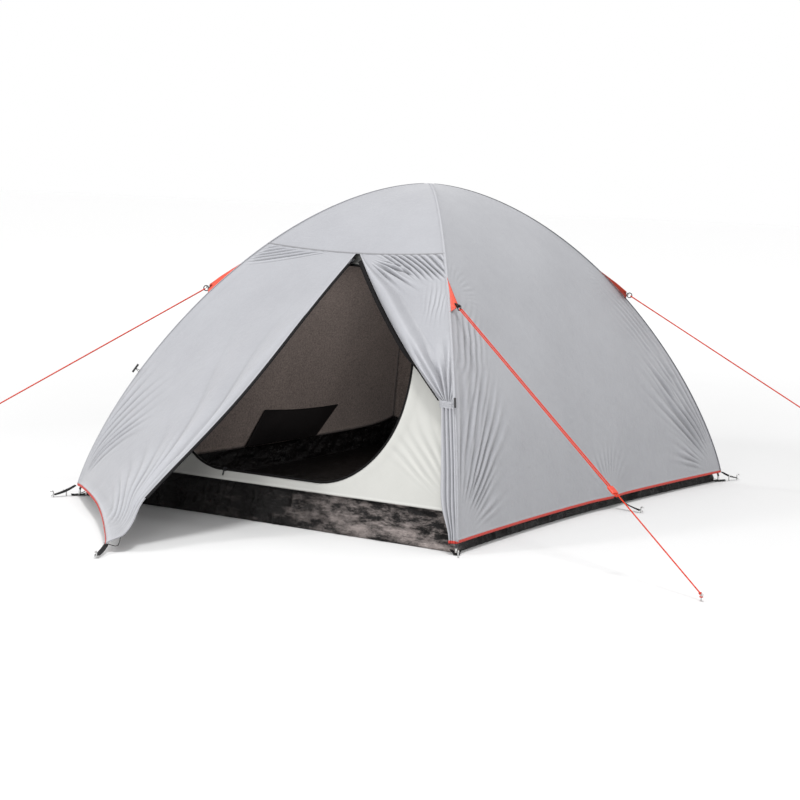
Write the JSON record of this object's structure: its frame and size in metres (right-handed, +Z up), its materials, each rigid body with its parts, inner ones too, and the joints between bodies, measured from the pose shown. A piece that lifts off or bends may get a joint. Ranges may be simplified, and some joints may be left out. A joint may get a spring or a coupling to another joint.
{
  "type": "dome tent",
  "caption": "Free-standing dome tent pitched on crossed poles, with a fly sheet, hung inner tent, tub floor, front vestibule tied half open and taut guy lines on runners.",
  "frame": {"origin": "on the ground under the crossing of the poles, at the underside of the tub floor", "axes": "+Z up, -Y towards the front with the vestibule, +X towards the side of the tied door flap"},
  "size_m": [3.6392, 3.2328, 1.25],
  "materials": {
    "fly_cloth": "light grey coated polyester",
    "hem_binding": "orange-red binding tape",
    "trim_cloth": "orange-red reinforced cloth",
    "inner_cloth": "off-white breathable polyester",
    "pocket_cloth": "black mesh",
    "groundsheet_film": "black glossy laminated sheet",
    "zip_tape": "black coil zip",
    "zip_metal": "dark plated metal",
    "pole_glassfibre": "black glass-fibre tube",
    "pole_tip_metal": "bare metal",
    "ring_plastic": "black",
    "runner_plastic": "orange-red",
    "guy_cord": "orange-red braided cord",
    "black_plastic": "black",
    "webbing": "black woven webbing",
    "peg_steel": "zinc plated"
  },
  "bodies": {
    "tent": {"corner_webbing": "webbing", "flap_tie": "fly_cloth", "fly_back": "fly_cloth", "fly_front": "fly_cloth", "fly_hem": "hem_binding", "fly_left": "fly_cloth", "fly_right": "fly_cloth", "groundsheet": "groundsheet_film", "gusset_back_left": "trim_cloth", "gusset_back_right": "trim_cloth", "gusset_front_left": "trim_cloth", "gusset_front_right": "trim_cloth", "guy_back_left": "guy_cord", "guy_back_right": "guy_cord", "guy_front_left": "guy_cord", "guy_front_right": "guy_cord", "guy_ring_back_left": "ring_plastic", "guy_ring_back_right": "ring_plastic", "guy_ring_front_left": "ring_plastic", "guy_ring_front_right": "ring_plastic", "inner_back_wall": "inner_cloth", "inner_door_roll": "inner_cloth", "inner_door_tie": "inner_cloth", "inner_front_wall": "inner_cloth", "inner_left_wall": "inner_cloth", "inner_pocket": "pocket_cloth", "inner_right_wall": "inner_cloth", "inner_zip": "zip_tape", "outer_zip": "zip_tape", "peg_heads": "peg_steel", "peg_loops": "webbing", "pole_a_section_1": "pole_glassfibre", "pole_a_section_2": "pole_glassfibre", "pole_a_section_3": "pole_glassfibre", "pole_a_section_4": "pole_glassfibre", "pole_a_section_5": "pole_glassfibre", "pole_a_section_6": "pole_glassfibre", "pole_a_section_7": "pole_glassfibre", "pole_b_section_1": "pole_glassfibre", "pole_b_section_2": "pole_glassfibre", "pole_b_section_3": "pole_glassfibre", "pole_b_section_4": "pole_glassfibre", "pole_b_section_5": "pole_glassfibre", "pole_b_section_6": "pole_glassfibre", "pole_b_section_7": "pole_glassfibre", "pole_tips": "pole_tip_metal", "vestibule_left_flap": "fly_cloth", "vestibule_right_flap": "fly_cloth"},
    "runner_front_right": {"guy_runner_front_right": "runner_plastic"},
    "runner_back_right": {"guy_runner_back_right": "runner_plastic"},
    "runner_back_left": {"guy_runner_back_left": "runner_plastic"},
    "runner_front_left": {"guy_runner_front_left": "runner_plastic"},
    "outer_zip_slider": {"outer_zip_slider": "zip_metal"},
    "outer_zip_pull": {"outer_zip_pull": "zip_metal"},
    "inner_zip_slider": {"inner_zip_slider": "zip_metal"},
    "inner_zip_pull": {"inner_zip_pull": "zip_metal"},
    "toggle_right": {"toggle_right": "black_plastic"},
    "toggle_left": {"toggle_left": "black_plastic"}
  },
  "joints": [
    {"name": "runner_slide_front_right", "type": "slide", "parent": "tent", "child": "runner_front_right", "axis": [-0.7902, 0.3374, 0.5116], "range_m": [-0.02, 0.984]},
    {"name": "runner_slide_back_right", "type": "slide", "parent": "tent", "child": "runner_back_right", "axis": [-0.7902, -0.3374, 0.5116], "range_m": [-0.02, 0.984]},
    {"name": "runner_slide_back_left", "type": "slide", "parent": "tent", "child": "runner_back_left", "axis": [0.7902, -0.3374, 0.5116], "range_m": [-0.02, 0.984]},
    {"name": "runner_slide_front_left", "type": "slide", "parent": "tent", "child": "runner_front_left", "axis": [0.7902, 0.3374, 0.5116], "range_m": [-0.02, 0.984]},
    {"name": "outer_zip_slide", "type": "slide", "parent": "tent", "child": "outer_zip_slider", "axis": [-0.0406, -0.8157, -0.577], "range_m": [-0.02, 1.344]},
    {"name": "outer_pull_hinge", "type": "hinge", "parent": "outer_zip_slider", "child": "outer_zip_pull", "pos_m": [0.03462, -0.59392, 0.9523], "axis": [-0.9992, 0.0331, 0.0234], "range_deg": [0, 150]},
    {"name": "inner_zip_slide", "type": "slide", "parent": "tent", "child": "inner_zip_slider", "axis": [1, 0, 0], "range_m": [0, 0.395]},
    {"name": "inner_pull_hinge", "type": "hinge", "parent": "inner_zip_slider", "child": "inner_zip_pull", "pos_m": [-0.198, -1.04985, 0.17203], "axis": [-1, 0, 0], "range_deg": [0, 150]},
    {"name": "toggle_turn_right", "type": "hinge", "parent": "tent", "child": "toggle_right", "pos_m": [0.72644, -0.94479, 0.49668], "axis": [0.4948, -0.6435, 0.584], "range_deg": [-90, 90]},
    {"name": "toggle_turn_left", "type": "hinge", "parent": "tent", "child": "toggle_left", "pos_m": [-0.72644, -0.94479, 0.49668], "axis": [-0.4948, -0.6435, 0.584], "range_deg": [-90, 90]}
  ]
}
